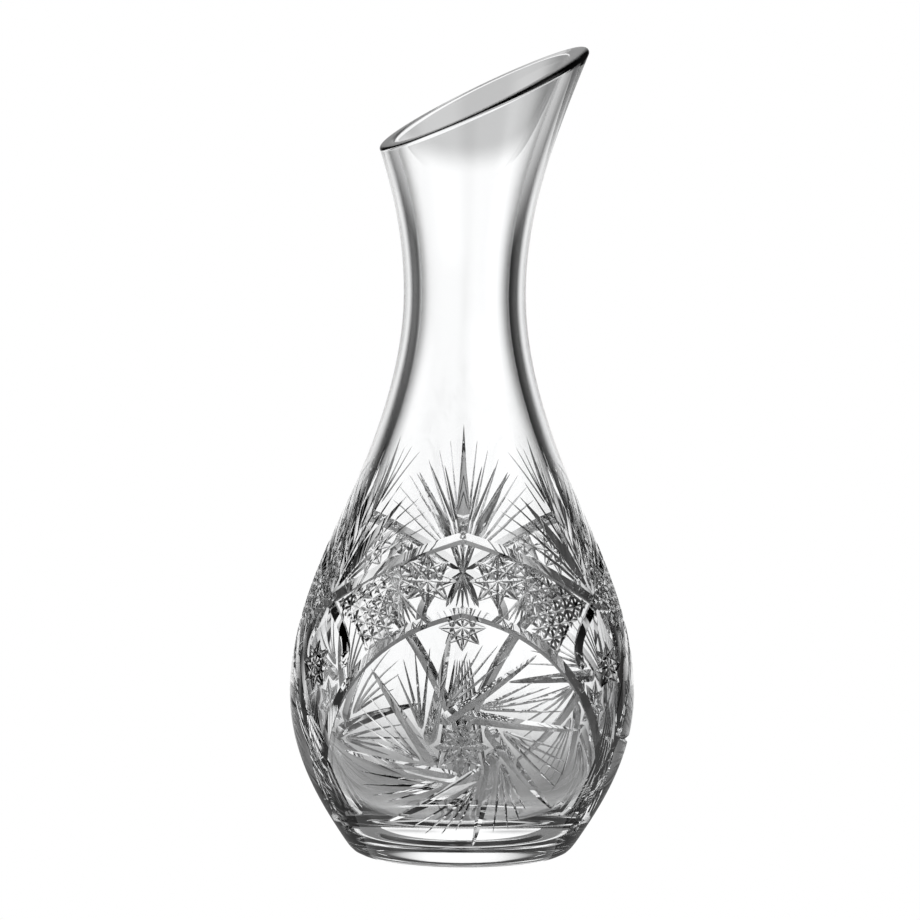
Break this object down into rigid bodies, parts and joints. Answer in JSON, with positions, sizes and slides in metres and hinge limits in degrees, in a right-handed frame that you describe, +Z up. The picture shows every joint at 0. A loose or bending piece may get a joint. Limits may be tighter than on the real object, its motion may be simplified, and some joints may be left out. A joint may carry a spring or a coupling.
{
  "type": "wine decanter",
  "caption": "Heavy clear cut-glass wine decanter with a pear-shaped belly, a long waisted neck and a wide pouring mouth cut on a slant.",
  "frame": {"origin": "centre of the foot, on the plane where the ground underside meets the table", "axes": "+Z up along the vessel's axis of turning; +X towards the high side of the slanted pouring mouth"},
  "size_m": [0.123, 0.123, 0.2899],
  "materials": {
    "clear_crystal": "clear colourless crystal, polished, with wheel-cut and acid-polished decoration"
  },
  "bodies": {
    "root": {"glass_body": "clear_crystal"}
  },
  "joints": []
}
